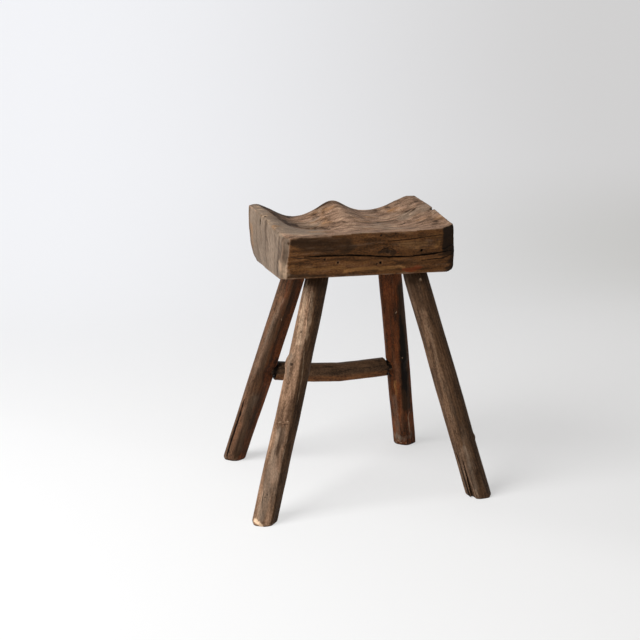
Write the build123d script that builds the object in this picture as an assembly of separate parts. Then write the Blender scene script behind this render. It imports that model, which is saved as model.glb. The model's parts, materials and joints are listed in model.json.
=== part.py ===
from build123d import *
from dataclasses import dataclass
import os

# A hand-hewn stool of solid wood. A thick block seat is carved into a saddle, with two scoops side by
# side and a ridge between them. Four splayed poles are driven into slanting blind sockets in the
# block's underside, and one bowed stretcher joins the two rear poles with shouldered round tenons.
# Lengths are in millimetres. Everything is laid out about the middle of the seat, with +X to the
# sitter's right, +Y to the back, +Z up and the floor at zero. At the end it all moves so that the
# origin lies on the floor under the middle of the whole stool.

# Seat block. The four corners differ, because the block was hewn by eye and its left end twists.
seat_depth = 196
underside_height = 395
block_height = 112
left_end_rear_top = 162.5
left_end_rear_waist = 162
left_end_rear_bottom = 150
left_end_front_top = 141
left_end_front_waist = 144
left_end_front_bottom = 147
right_end_top = 155
right_end_waist = 149
right_end_bottom = 148
underside_round = 12

# Flats hewn off the two near corners
left_flat_width = 10
left_flat_depth = 8
right_flat_width = 26.5
right_flat_depth = 15
right_flat_foot_depth = 2
right_flat_drop = 42

# Poles: where each axis crosses the seat's underside and the floor, and how thick the pole is
front_left_top_x = -81.5
front_left_top_y = -56.5
front_left_foot_x = -201.5
front_left_foot_y = -153
front_left_thickness = 40.5
front_right_top_x = 92.5
front_right_top_y = -57
front_right_foot_x = 191.5
front_right_foot_y = -148.5
front_right_thickness = 42
rear_left_top_x = -85
rear_left_top_y = 54.5
rear_left_foot_x = -183
rear_left_foot_y = 154.5
rear_left_thickness = 42.5
rear_right_top_x = 89.5
rear_right_top_y = 54
rear_right_foot_x = 170.5
rear_right_foot_y = 146
rear_right_thickness = 44.5
front_left_bow = 1
front_right_bow = 0.6
rear_left_bow = 0.6
rear_right_bow = 0.6

# Split in the front right foot
split_height = 88
split_width = 6
split_depth = 17
split_offset = 16

# Tapered tenons of the poles, in the seat, each shaved round with many narrow flats
tenon_flat_count = 24
tenon_lead = 12
tenon_length = 50
tenon_end_thickness = 32

# Stretcher between the rear poles. Its two heights are on the poles' axes.
stretcher_left_height = 186
stretcher_right_height = 176
stretcher_height = 35
stretcher_thickness = 24
stretcher_corner = 8
stretcher_sag = 10
stretcher_tenon_thickness = 20
stretcher_tenon_past_axis = 4
stretcher_tenon_root = 12
shoulder_gap = 4
socket_flare = 3

# Fits
joint_clearance = 0.15
socket_end_gap = 1.5
overrun = 10

# The saddle. Stations across the seat are shares of half the longest length, from the left end to the
# right: end, rim, slope, valley, flank, ridge, flank, valley, slope, rim, end.
back_station_shares = (-1.06, -0.86, -0.74, -0.52, -0.22, -0.04, 0.14, 0.38, 0.64, 0.81, 1.02)
front_station_shares = (-0.96, -0.74, -0.62, -0.47, -0.25, -0.04, 0.16, 0.39, 0.61, 0.79, 1.02)
# Heights at those stations are shares of the block's height, one row for each place along the depth.
depth_shares = (-1.02, -0.5, 0, 0.5, 1.02)
top_height_shares = (
    (0.59, 0.61, 0.615, 0.625, 0.645, 0.655, 0.655, 0.66, 0.67, 0.69, 0.72),
    (0.67, 0.65, 0.62, 0.595, 0.61, 0.64, 0.635, 0.635, 0.66, 0.715, 0.86),
    (0.755, 0.71, 0.64, 0.57, 0.625, 0.70, 0.67, 0.65, 0.70, 0.795, 0.915),
    (0.81, 0.81, 0.72, 0.63, 0.72, 0.825, 0.75, 0.70, 0.77, 0.89, 0.92),
    (0.76, 0.911, 0.818, 0.71, 0.842, 0.951, 0.843, 0.781, 0.873, 0.985, 0.958),
)
# Height of the block's waist, where the left end is widest, and of the carving's open top
waist_share = 0.42
open_top_share = 1.3

# Girth of each pole as shares of its thickness, at places along it from the foot to the tenon. The
# foot and the middle, where the floor and the stretcher's socket cut it, are straight and even.
girth_place_shares = (-0.08, 0.24, 0.42, 0.54, 0.78)
front_left_girth_shares = (1.025, 1.025, 1.0, 1.0, 0.99, 0.97)
front_right_girth_shares = (1.01, 1.01, 1.02, 1.02, 0.99, 0.99)
rear_left_girth_shares = (0.97, 0.97, 1.02, 1.02, 1.0, 0.98)
rear_right_girth_shares = (1.005, 1.005, 1.015, 1.015, 0.99, 0.97)
bow_shares = (0, 0, 1, 1, 0.7)

# Sag of the stretcher's centre line: places between the two poles' axes, and shares of the sag there
sag_place_shares = (0, 0.2, 0.36, 0.55, 0.72, 0.88, 1)
sag_shares = (0, 0.5, 0.86, 1, 0.64, 0.26, 0)

front = -seat_depth / 2
back = seat_depth / 2
half_length = max(left_end_rear_top, right_end_top)


@dataclass
class Pole:
    """One leg: a round pole from the floor to the end of its tapered tenon in the seat."""

    name: str
    top: Vector
    foot: Vector
    thickness: float
    girth_shares: tuple
    bow: float

    @property
    def axis(self):
        return (self.top - self.foot).normalized()

    @property
    def run(self):
        """Length of the full-bodied pole, up to where its tenon starts."""
        return (self.top - self.foot).length - tenon_lead

    def plane(self, distance):
        """A plane square to the axis, at a distance along it from the foot."""
        return Plane(origin=self.foot + self.axis * distance, x_dir=(1, 0, 0), z_dir=self.axis)

    def axis_at(self, height):
        """The point of the axis at a height above the floor."""
        return self.foot + (self.top - self.foot) * (height / self.top.Z)

    @property
    def tenon_radius(self):
        """Radius at the tenon's start, where the pole ends."""
        return self.thickness * self.girth_shares[-1] / 2

    @property
    def taper(self):
        """How much the tenon's radius falls for each unit of its length."""
        return (self.tenon_radius - tenon_end_thickness / 2) / (tenon_lead + tenon_length)

    def tenon(self):
        """The tapered end that sits in the seat."""
        start = self.plane(self.run) * RegularPolygon(self.tenon_radius, tenon_flat_count)
        end_plane = self.plane(self.run + tenon_lead + tenon_length)
        return loft([start, end_plane * RegularPolygon(tenon_end_thickness / 2, tenon_flat_count)])

    def socket(self):
        """What is bored out of the seat for the tenon."""
        start = self.plane(self.run - overrun)
        end = self.plane(self.run + tenon_lead + tenon_length + socket_end_gap)
        start_radius = self.tenon_radius + self.taper * overrun + joint_clearance
        end_radius = tenon_end_thickness / 2 - self.taper * socket_end_gap + joint_clearance
        return loft([start * Circle(start_radius), end * Circle(end_radius)])

    def body(self):
        """The pole itself, cut off level with the floor."""
        sections = []
        for place, girth, bow in zip(girth_place_shares, self.girth_shares, bow_shares):
            centred = self.plane(self.run * place) * Pos(self.bow * bow, 0)
            sections.append(centred * Circle(self.thickness * girth / 2))
        sections.append(self.plane(self.run) * Circle(self.tenon_radius))
        pole = loft(sections, ruled=True) + self.tenon()
        return split(pole, bisect_by=Plane.XY, keep=Keep.TOP)


def outline(left_rear, left_front, right, height):
    """One level of the seat block, seen from above, with the flat on its near left corner."""
    points = (
        (-left_front, front),
        (right, front),
        (right, back),
        (-left_rear, back),
        (-left_front - left_flat_width, front + left_flat_depth),
    )
    return Pos(0, 0, height) * make_face(Polyline(*points, close=True))


def seat_block():
    """The block before it is carved: three levels, so that the left end swells and twists."""
    waist = underside_height + block_height * waist_share
    block = loft([
        outline(left_end_rear_bottom, left_end_front_bottom, right_end_bottom, underside_height),
        outline(left_end_rear_waist, left_end_front_waist, right_end_waist, waist),
        outline(left_end_rear_top, left_end_front_top, right_end_top, underside_height + block_height),
    ])
    underside_edges = block.edges().group_by(Axis.Z)[0]
    return fillet(underside_edges.sort_by(Axis.X)[-1], underside_round)


def saddle_carving():
    """Everything above the carved top: a loft from the front edge to the back through five sections."""
    sections = []
    front_row, back_row = depth_shares[0], depth_shares[-1]
    for depth, heights in zip(depth_shares, top_height_shares):
        blend = (depth - front_row) / (back_row - front_row)
        line = []
        for near, far, height in zip(front_station_shares, back_station_shares, heights):
            x = half_length * (near + (far - near) * blend)
            line.append((x, underside_height + block_height * height))
        line[0] = (line[0][0] - overrun, line[0][1])
        line[-1] = (line[-1][0] + overrun, line[-1][1])
        open_top = underside_height + block_height * open_top_share
        sides = Polyline(line[-1], (line[-1][0], open_top), (line[0][0], open_top), line[0])
        section = make_face([Spline(*line), *sides.edges()])
        sections.append(Plane(origin=(0, depth * back, 0), x_dir=(1, 0, 0), z_dir=(0, -1, 0)) * section)
    return loft(sections)


def corner_chip():
    """What was chopped off the near right top corner: deep at the top and shallow at its foot."""
    inner = right_end_top - right_flat_width
    outer = right_end_top + overrun
    foot_height = underside_height + block_height * top_height_shares[0][-1] - right_flat_drop
    sections = []
    for rise in (0, right_flat_drop + overrun):
        gain = (right_flat_depth - right_flat_foot_depth) * rise / right_flat_drop
        depth = (right_flat_foot_depth + gain) * (outer - inner) / right_flat_width
        points = ((inner, front), (outer, front + depth), (outer, front - overrun), (inner, front - overrun))
        sections.append(Pos(0, 0, foot_height + rise) * make_face(Polyline(*points, close=True)))
    return loft(sections)


def make_seat(poles):
    """The carved seat with a tapered blind socket for each pole."""
    seat = seat_block() - saddle_carving() - corner_chip()
    for pole in poles:
        seat -= pole.socket()
    return seat


def foot_split(pole):
    """The wedge-shaped drying split that opens in a foot, on its near side."""
    half = split_width / 2
    wedge = make_face(Polyline((-half, -overrun), (half, -overrun), (0, split_height), close=True))
    square = pole.plane(0)
    deepest = split_depth - pole.thickness / 2
    start = square.origin + square.y_dir * deepest - square.x_dir * split_offset
    return extrude(Plane(origin=start, x_dir=square.x_dir, z_dir=-square.y_dir) * wedge, pole.thickness)


def stretcher_ends(left, right):
    """The two points on the rear poles' axes that the stretcher runs between."""
    return left.axis_at(stretcher_left_height), right.axis_at(stretcher_right_height)


def stretcher_tenon(pole, start, towards, radius, past_axis):
    """A round bar along the line between the rear poles, from beyond one pole's axis to its root."""
    direction = (towards - start).normalized()
    tip = start - direction * past_axis
    length = past_axis + pole.thickness / 2 + shoulder_gap + stretcher_tenon_root
    return extrude(Plane(origin=tip, z_dir=direction) * Circle(radius), length)


def side_socket(pole, start, towards):
    """The blind hole in a rear pole for the stretcher's tenon, its mouth worn to a flare."""
    radius = stretcher_tenon_thickness / 2 + joint_clearance
    past_axis = stretcher_tenon_past_axis + socket_end_gap
    hole = stretcher_tenon(pole, start, towards, radius, past_axis)
    direction = (towards - start).normalized()
    mouth = pole.thickness / 2
    inner = Plane(origin=start + direction * (mouth - 2 * socket_flare), z_dir=direction)
    outer = inner.offset(2 * socket_flare + overrun)
    flare_gain = socket_flare * (2 * socket_flare + overrun) / (2 * socket_flare)
    return hole + loft([inner * Circle(radius), outer * Circle(radius + flare_gain)])


def shoulder(pole, height, side):
    """The plane of a stretcher's shoulder, parallel to the pole and a gap away from it."""
    lean = pole.axis
    surface = pole.thickness / 2 / (lean.Z / Vector(lean.X, 0, lean.Z).length)
    point = pole.axis_at(height) + Vector(side * (surface + shoulder_gap), 0, 0)
    return Plane(origin=point, z_dir=Vector(lean.Z, 0, -lean.X) * side)


def make_stretcher(left_pole, right_pole):
    """The bowed stick: a loft along X, cut at both shoulders, with its two round tenons."""
    start, end = stretcher_ends(left_pole, right_pole)
    sections = []
    for place, sag in zip(sag_place_shares, sag_shares):
        centre = start + (end - start) * place - Vector(0, 0, stretcher_sag * sag)
        plane = Plane(origin=centre, x_dir=(0, 1, 0), z_dir=(1, 0, 0))
        sections.append(plane * RectangleRounded(stretcher_thickness, stretcher_height, stretcher_corner))
    stick = loft(sections, ruled=True)
    stick = split(stick, bisect_by=shoulder(left_pole, stretcher_left_height, 1), keep=Keep.TOP)
    stick = split(stick, bisect_by=shoulder(right_pole, stretcher_right_height, -1), keep=Keep.TOP)
    radius = stretcher_tenon_thickness / 2
    stick += stretcher_tenon(left_pole, start, end, radius, stretcher_tenon_past_axis)
    stick += stretcher_tenon(right_pole, end, start, radius, stretcher_tenon_past_axis)
    return stick


front_left = Pole(
    "front_left_leg",
    Vector(front_left_top_x, front_left_top_y, underside_height),
    Vector(front_left_foot_x, front_left_foot_y, 0),
    front_left_thickness,
    front_left_girth_shares,
    front_left_bow,
)
front_right = Pole(
    "front_right_leg",
    Vector(front_right_top_x, front_right_top_y, underside_height),
    Vector(front_right_foot_x, front_right_foot_y, 0),
    front_right_thickness,
    front_right_girth_shares,
    front_right_bow,
)
rear_left = Pole(
    "rear_left_leg",
    Vector(rear_left_top_x, rear_left_top_y, underside_height),
    Vector(rear_left_foot_x, rear_left_foot_y, 0),
    rear_left_thickness,
    rear_left_girth_shares,
    rear_left_bow,
)
rear_right = Pole(
    "rear_right_leg",
    Vector(rear_right_top_x, rear_right_top_y, underside_height),
    Vector(rear_right_foot_x, rear_right_foot_y, 0),
    rear_right_thickness,
    rear_right_girth_shares,
    rear_right_bow,
)
poles = (front_left, front_right, rear_left, rear_right)

left_joint, right_joint = stretcher_ends(rear_left, rear_right)
pieces = {pole.name: pole.body() for pole in poles}
pieces[front_right.name] -= foot_split(front_right)
pieces[rear_left.name] -= side_socket(rear_left, left_joint, right_joint)
pieces[rear_right.name] -= side_socket(rear_right, right_joint, left_joint)
pieces["stretcher"] = make_stretcher(rear_left, rear_right)
pieces["seat"] = make_seat(poles)

whole = Compound(children=[piece.solids()[0] for piece in pieces.values()]).bounding_box()
to_origin = Pos(-whole.center().X, -whole.center().Y, -whole.min.Z)

os.makedirs("parts", exist_ok=True)
for name, piece in pieces.items():
    export_step(to_origin * piece, f"parts/{name}.step")
print(f"size {whole.size.X:.1f} x {whole.size.Y:.1f} x {whole.size.Z:.1f} mm")
print(f"moved by {-whole.center().X:.2f}, {-whole.center().Y:.2f}")
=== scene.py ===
"""A hand-hewn saddle stool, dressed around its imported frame.

The seat is one carved block, four hewn poles are its legs and a bowed stick joins the two rear ones.
Lengths are in metres. Marks, trims and cells of noise are in millimetres. A place that was read off
the photograph is a pixel of its 640 by 640 frame, and a sight line from the camera carries it onto
the wood.
"""

import json
import logging
import math
from abc import ABC, abstractmethod
from dataclasses import dataclass
from enum import Enum

import bmesh
import bpy
import numpy as np
from mathutils import Matrix, Vector
from mathutils.bvhtree import BVHTree


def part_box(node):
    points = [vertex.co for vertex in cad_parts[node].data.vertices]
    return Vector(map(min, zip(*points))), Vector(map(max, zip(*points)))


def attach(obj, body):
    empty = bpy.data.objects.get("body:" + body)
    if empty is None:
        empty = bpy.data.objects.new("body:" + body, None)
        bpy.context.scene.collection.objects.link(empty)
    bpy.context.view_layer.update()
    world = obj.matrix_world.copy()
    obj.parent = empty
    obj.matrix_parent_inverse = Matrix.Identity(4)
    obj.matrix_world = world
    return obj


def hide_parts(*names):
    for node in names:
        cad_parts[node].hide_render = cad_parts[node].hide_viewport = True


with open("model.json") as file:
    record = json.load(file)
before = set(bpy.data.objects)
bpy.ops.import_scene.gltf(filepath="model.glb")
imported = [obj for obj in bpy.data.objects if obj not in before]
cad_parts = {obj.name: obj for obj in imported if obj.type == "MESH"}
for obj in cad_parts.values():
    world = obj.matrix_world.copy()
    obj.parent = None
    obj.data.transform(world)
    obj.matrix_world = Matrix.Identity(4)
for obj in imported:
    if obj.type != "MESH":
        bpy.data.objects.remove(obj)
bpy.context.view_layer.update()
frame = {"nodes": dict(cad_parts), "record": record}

MM = 0.001
DOWN = Vector((0, 0, -1))

log = logging.getLogger("stool")

Array = np.ndarray
Socket = bpy.types.NodeSocket
Pixel = tuple[float, float]
Pixels = tuple[Pixel, ...]
Span = tuple[float, float]
Triple = tuple[float, float, float]
Value = Socket | float | Triple

# How far a normal points one way where a face starts to count as facing it, and where it does in full
FACING: Span = (0.3, 0.7)


def shade(red: int, green: int, blue: int) -> Triple:
    """The linear colour that shaders work with, from display levels of 0 to 255."""
    levels = (red / 255, green / 255, blue / 255)
    return tuple(v / 12.92 if v <= 0.04045 else ((v + 0.055) / 1.055) ** 2.4 for v in levels)


def ease(values: Array, low: float, high: float) -> Array:
    """Rise smoothly from 0 at low to 1 at high, or fall where high is below low."""
    share = np.clip((values - low) / (high - low), 0, 1)
    return share * share * (3 - 2 * share)


class Noise:
    """Smooth seeded noise in space, worked out for whole arrays of points."""

    def __init__(self, seed: int) -> None:
        """Draw the lattice.

        Args:
            seed: picks the lattice, so that each run gives the same one.
        """
        draw = np.random.default_rng(seed)
        self.order = draw.permutation(256)
        self.values = draw.uniform(-1, 1, 256)

    def at(self, points: Array, cell: Triple | float) -> Array:
        """Noise from -1 to 1.

        Args:
            points: where, one row each.
            cell: millimetres of a lattice cell, the same each way or one for each axis.

        Returns:
            One value for each point.
        """
        scaled = points / (np.asarray(cell) * MM)
        low = np.floor(scaled).astype(int)
        part = scaled - low
        part = part * part * (3 - 2 * part)
        total = np.zeros(len(points))
        for corner in np.ndindex(2, 2, 2):
            weight = np.ones(len(points))
            key = np.zeros(len(points), int)
            for axis, step in enumerate(corner):
                weight = weight * (part[:, axis] if step else 1 - part[:, axis])
                key = self.order[(key + low[:, axis] + step) & 255]
            total += weight * self.values[key]
        return total

    def layered(self, points: Array, cell: Triple | float, layers: int = 3) -> Array:
        """Noise in layers, each half as large and half as strong as the one before.

        Args:
            points: where, one row each.
            cell: millimetres of the first layer's cells.
            layers: how many.

        Returns:
            One value for each point, from about -1 to 1.
        """
        size, strength = np.asarray(cell, float), 1.0
        total = np.zeros(len(points))
        for layer in range(layers):
            total += strength * self.at(points + layer * size * MM * 7.3, size)
            size, strength = size / 2, strength / 2
        return total / (2 - 2 * strength)

    def shifts(self, points: Array, apart: float, cell: float) -> Array:
        """Three noises side by side for each point, which shake it about."""
        return np.stack([self.at(points + apart * k, cell) for k in range(3)], 1)


@dataclass(frozen=True)
class Sight:
    """The photograph's camera, which aims the render and carries pixels onto the wood."""

    position: Triple = (-0.57849, -1.6476, 0.6925)
    heading: float = 17.68
    pitch: float = 12.81
    roll: float = 0.49
    focal_pixels: float = 1000
    frame_pixels: float = 640
    sensor: float = 36
    stool_reach: Span = (1.4, 2.2)
    reach_step: float = 0.01

    def axes(self) -> tuple[Vector, Vector, Vector]:
        """Turn the camera's angles into directions.

        Returns:
            Its right, up and forward directions.
        """
        heading, pitch, roll = (math.radians(a) for a in (self.heading, self.pitch, self.roll))
        level = math.cos(pitch)
        forward = Vector((math.sin(heading) * level, math.cos(heading) * level, -math.sin(pitch)))
        right = Vector((math.cos(heading), -math.sin(heading), 0))
        up = right.cross(forward)
        tilted = right * math.cos(roll) + up * math.sin(roll)
        return tilted, up * math.cos(roll) - right * math.sin(roll), forward

    def line(self, pixel: Pixel) -> Vector:
        """Aim a sight line.

        Args:
            pixel: column and row in the photograph.

        Returns:
            Its direction.
        """
        right, up, forward = self.axes()
        across, down = ((place - self.frame_pixels / 2) / self.focal_pixels for place in pixel)
        return (forward + right * across - up * down).normalized()

    def hit(self, tree: BVHTree, pixel: Pixel) -> Vector:
        """Find where the sight line of a pixel meets a surface, or passes nearest to it.

        Args:
            tree: the surface.
            pixel: column and row in the photograph.

        Returns:
            The point on the surface.
        """
        eye, line = Vector(self.position), self.line(pixel)
        found = tree.ray_cast(eye, line)[0]
        if found is None:
            steps = np.arange(*self.stool_reach, self.reach_step)
            beside = (tree.find_nearest(eye + line * step) for step in steps)
            found = min(beside, key=lambda answer: answer[3])[0]
        return found

    def at_depth(self, pixels: Pixels, depths: tuple[float, ...]) -> Array:
        """Find where the sight lines of pixels pass the given places along Y.

        Args:
            pixels: columns and rows in the photograph.
            depths: the place along Y for each.

        Returns:
            The points, one row each.
        """
        eye = np.array(self.position)
        lines = [np.array(self.line(pixel)) for pixel in pixels]
        return np.array([eye + line * (depth - eye[1]) / line[1] for line, depth in zip(lines, depths)])

    def make_camera(self) -> None:
        """Make the scene's camera."""
        data = bpy.data.cameras.new("camera")
        data.sensor_width = self.sensor
        data.lens = self.focal_pixels / self.frame_pixels * self.sensor
        half_pixel = 0.5 / self.frame_pixels
        data.shift_x, data.shift_y = -half_pixel, half_pixel
        camera = bpy.data.objects.new("camera", data)
        right, up, forward = self.axes()
        turn = Matrix((right, up, -forward)).transposed()
        camera.matrix_world = Matrix.Translation(self.position) @ turn.to_4x4()
        bpy.context.scene.collection.objects.link(camera)
        bpy.context.scene.camera = camera


SIGHT = Sight()


class Tone(Enum):
    """A tint that marks lay on the wood, by the name of the mask that its material reads."""

    # Dirt in cracks and holes, and painted shadow in the gaps between parts and under the feet.
    SOIL = "soil"
    DARK = "dark"
    RUST = "rust"
    GOLD = "gold"
    PALE = "pale"
    GREY = "grey"


@dataclass(frozen=True)
class Groove:
    """A crack or a scored line that runs along pixels of the photograph, in millimetres."""

    pixels: Pixels
    width: float
    depth: float
    soil: float = 1.0
    tone: Tone = Tone.SOIL


@dataclass(frozen=True)
class Pit:
    """A hole, dent or knot at a pixel of the photograph, or a bump where its depth is negative."""

    pixel: Pixel
    radius: float
    depth: float
    soil: float = 1.0
    rim: float = 0.0


@dataclass(frozen=True)
class Stroke:
    """A soft stroke of one tone along pixels of the photograph, wiped off where its strength is negative."""

    tone: Tone
    width: float
    strength: float
    pixels: Pixels


def brush(tone: Tone, *rows: tuple[float, float, Pixels]) -> tuple[Stroke, ...]:
    """Strokes of one tone, each from a row of width, strength and pixels."""
    return tuple(Stroke(tone, *row) for row in rows)


class Wood:
    """A wooden mesh under the knife, with the masks that its material reads."""

    CRACK_DRIFT = 0.6 * MM
    TONE_DRIFT = 2.5 * MM
    TONE_STREAK = 9 * MM
    EDGE_HEIGHT = 0.25 * MM

    def __init__(self, mesh: bpy.types.Mesh, seed: int, along: Array) -> None:
        """Take up a mesh.

        Args:
            mesh: the mesh to work on.
            seed: for this piece's noise.
            along: the direction of its grain.
        """
        self.mesh = mesh
        self.noise = Noise(seed)
        self.along = along
        self.masks: dict[str, Array] = {}
        self.settle()

    def settle(self) -> None:
        """Take the surface as it now is for the one that marks are placed on."""
        corners = [v.co.copy() for v in self.mesh.vertices]
        self.tree = BVHTree.FromPolygons(corners, [tuple(p.vertices) for p in self.mesh.polygons])

    def trace(self, pixels: Pixels) -> Array:
        """Carry a chain of pixels onto the settled surface, one row for each."""
        return np.array([SIGHT.hit(self.tree, pixel) for pixel in pixels])

    @staticmethod
    def read(data: bpy.types.bpy_prop_collection, field: str, width: int = 1, kind: type = np.int32) -> Array:
        """Read one field of the mesh's data.

        Args:
            data: the vertices, edges, corners or faces.
            field: the field's name.
            width: how many numbers it holds.
            kind: their type.

        Returns:
            The numbers, one row each.
        """
        flat = np.empty(len(data) * width, kind)
        data.foreach_get(field, flat)
        return flat.reshape(-1, width) if width > 1 else flat

    def points(self) -> Array:
        """The vertices' places, one row each."""
        return self.read(self.mesh.vertices, "co", 3, np.float32).astype(float)

    def normals(self) -> Array:
        """The vertices' normals, one row each."""
        return self.read(self.mesh.vertex_normals, "vector", 3, np.float32).astype(float)

    def place(self, points: Array) -> None:
        """Put the vertices at new places."""
        self.mesh.vertices.foreach_set("co", points.astype(np.float32).ravel())
        self.mesh.update()

    def raise_by(self, heights: Array) -> None:
        """Move each vertex out along its normal, or in where its height is negative."""
        self.place(self.points() + self.normals() * heights[:, None])

    def mean_of_neighbours(self, values: Array) -> Array:
        """Average each vertex's neighbours.

        Args:
            values: one row for each vertex.

        Returns:
            The averages, in the same shape.
        """
        ends = self.read(self.mesh.edges, "vertices", 2)
        here, there = np.concatenate((ends, ends[:, ::-1])).T
        count = np.bincount(here, minlength=len(values))
        columns = [np.bincount(here, column[there], len(values)) for column in values.T]
        return np.stack(columns, 1) / np.maximum(count, 1)[:, None]

    def soften(self, times: int, where: Array | None = None) -> None:
        """Round the arrises by moving vertices half way to their neighbours' middle.

        Args:
            times: how often.
            where: how much each vertex takes part, all of them in full if not given.
        """
        share = 0.5 if where is None else 0.5 * where[:, None]
        for _ in range(times):
            points = self.points()
            self.place(points + share * (self.mean_of_neighbours(points) - points))

    def refine(self, chains: list[Array], band: float, flat: bool = False) -> None:
        """Divide the mesh once along chains of points, so that fine cuts have room.

        Args:
            chains: each an array of points in space.
            band: how far from a chain the mesh is divided.
            flat: whether the upper side alone counts, seen from above.
        """
        points = self.points()
        if flat:
            points = np.where(self.normals()[:, 2:] > FACING[0], points * (1, 1, 0), 1.0)
        near = np.zeros(len(points), bool)
        for chain in chains:
            near |= self.reach(points, chain)[0] < band
        work = bmesh.new()
        work.from_mesh(self.mesh)
        edges = [e for e in work.edges if near[e.verts[0].index] and near[e.verts[1].index]]
        bmesh.ops.subdivide_edges(work, edges=edges, cuts=1, use_grid_fill=True)
        bmesh.ops.triangulate(work, faces=[f for f in work.faces if len(f.verts) > 4])
        work.to_mesh(self.mesh)
        work.free()
        self.mesh.update()

    @staticmethod
    def reach(points: Array, chain: Array) -> tuple[Array, Array]:
        """Measure points against a chain.

        Args:
            points: the points, one row each.
            chain: the chain's own points, at least one.

        Returns:
            The distance to the chain, and the share of the way along it.
        """
        best = np.full(len(points), np.inf)
        share = np.zeros(len(points))
        if len(chain) == 1:
            return np.linalg.norm(points - chain[0], axis=1), share + 0.5
        steps = np.linalg.norm(np.diff(chain, axis=0), axis=1)
        total, gone = steps.sum(), 0.0
        for start, end, step in zip(chain, chain[1:], steps):
            along = np.clip(((points - start) @ (end - start)) / max(step * step, 1e-12), 0, 1)
            apart = np.linalg.norm(points - start - along[:, None] * (end - start), axis=1)
            closer = apart < best
            best[closer] = apart[closer]
            share[closer] = ((gone + along * step) / total)[closer]
            gone += step
        return best, share

    def turn_grain(self, shares: list[Array], places: list[Array]) -> None:
        """Lay the grain's coordinates on the face corners, so that they change sharply from face to face.

        Args:
            shares: how much each vertex belongs to each part after the first.
            places: the coordinates for the first part and for each of the others.
        """
        corners = self.read(self.mesh.loops, "vertex_index")
        sizes = self.read(self.mesh.polygons, "loop_total")
        face = np.repeat(np.arange(len(sizes)), sizes)
        grain = places[0][corners]
        for share, place in zip(shares, places[1:]):
            chosen = (np.bincount(face, share[corners]) / sizes)[face] > 0.5
            grain[chosen] = place[corners][chosen]
        self.masks["grain"] = grain

    def lay(self, tone: Tone, *amounts: Array) -> None:
        """Add amounts to a tone's mask, which stays from 0 to 1 after each."""
        for amount in amounts:
            self.masks[tone.value] = np.clip(self.masks.get(tone.value, 0) + amount, 0, 1)

    def cut(self, grooves: tuple[Groove, ...], pits: tuple[Pit, ...]) -> None:
        """Cut cracks and holes, and darken them with dirt, which at some marks is painted shadow.

        Args:
            grooves: the cracks.
            pits: the holes, dents and knots.
        """
        points = self.points()
        depth = np.zeros(len(points))
        drift = self.CRACK_DRIFT * self.noise.shifts(points, 3, 6)
        for groove in grooves:
            apart, share = self.reach(points + drift, self.trace(groove.pixels))
            ends = np.sqrt(np.clip(4 * share * (1 - share), 0, 1))
            width = groove.width * MM * (0.35 + 0.65 * ends) * (1 + 0.35 * self.noise.at(points, 9))
            cut = np.clip(1 - apart / width, 0, 1)
            depth = np.maximum(depth, groove.depth * MM * (0.25 + 0.75 * ends) * cut)
            self.lay(groove.tone, groove.soil * np.clip(1.5 * (1 - apart / (1.3 * width)), 0, 1))
        for pit in pits:
            radius = pit.radius * MM
            apart = self.reach(points + 0.5 * drift, self.trace((pit.pixel,)))[0]
            depth += pit.depth * MM * ease(apart, radius, 0.3 * radius)
            self.lay(Tone.SOIL, pit.soil * ease(apart, 1.15 * radius, 0.6 * radius))
            ring = ease(apart, 2.2 * radius, 1.5 * radius) * ease(apart, radius, 1.4 * radius)
            self.lay(Tone.PALE, pit.rim * ring)
        self.raise_by(-depth)

    def paint(self, strokes: tuple[Stroke, ...]) -> None:
        """Lay soft strokes of tone on the wood, which stray along its grain.

        Args:
            strokes: the strokes.
        """
        points = self.points()
        fibres = points - 0.85 * np.outer(points @ self.along, self.along)
        drift = self.TONE_DRIFT * self.noise.shifts(points, 5, 11)
        drift += np.outer(self.TONE_STREAK * self.noise.layered(fibres, 3, 2), self.along)
        for stroke in strokes:
            width = stroke.width * MM
            apart = self.reach(points + drift, self.trace(stroke.pixels))[0]
            self.lay(stroke.tone, stroke.strength * ease(apart, width, 0.35 * width))

    def mark_edges(self, rubbing: Array | float) -> None:
        """Mask the arrises, where hands have rubbed the wood, and the hollows, where dirt stays.

        Args:
            rubbing: how much the arrises are rubbed.
        """
        points, soiled = self.points(), self.masks[Tone.SOIL.value][:, None]
        for _ in range(3):
            points = 0.5 * (points + self.mean_of_neighbours(points))
        for _ in range(5):
            soiled = self.mean_of_neighbours(soiled)
        rise = ((self.points() - points) * self.normals()).sum(1) / self.EDGE_HEIGHT
        self.masks["arris"] = np.clip(rise, 0, 1) * np.clip(1 - 4 * soiled[:, 0], 0, 1) * rubbing
        self.masks["hollow"] = np.clip(-rise, 0, 1)

    def finish(self, name: str, material: bpy.types.Material) -> bpy.types.Object:
        """Make the finished piece.

        Args:
            name: the piece's name, which is also the node's that it stands for.
            material: its material.

        Returns:
            The object, riding on its body.
        """
        for mask, values in self.masks.items():
            kind, field = ("FLOAT", "value") if values.ndim == 1 else ("FLOAT_VECTOR", "vector")
            domain = "POINT" if len(values) == len(self.mesh.vertices) else "CORNER"
            layer = self.mesh.attributes.new(mask, kind, domain)
            layer.data.foreach_set(field, values.astype(np.float32).ravel())
        self.mesh.polygons.foreach_set("use_smooth", [True] * len(self.mesh.polygons))
        self.mesh.materials.clear()
        self.mesh.materials.append(material)
        self.mesh.update()
        piece = bpy.data.objects.new("hewn_" + name, self.mesh)
        bpy.context.scene.collection.objects.link(piece)
        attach(piece, "root")
        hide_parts(name)
        log.info("%s: %d vertices, %d faces", piece.name, len(self.mesh.vertices), len(self.mesh.polygons))
        return piece


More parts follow.
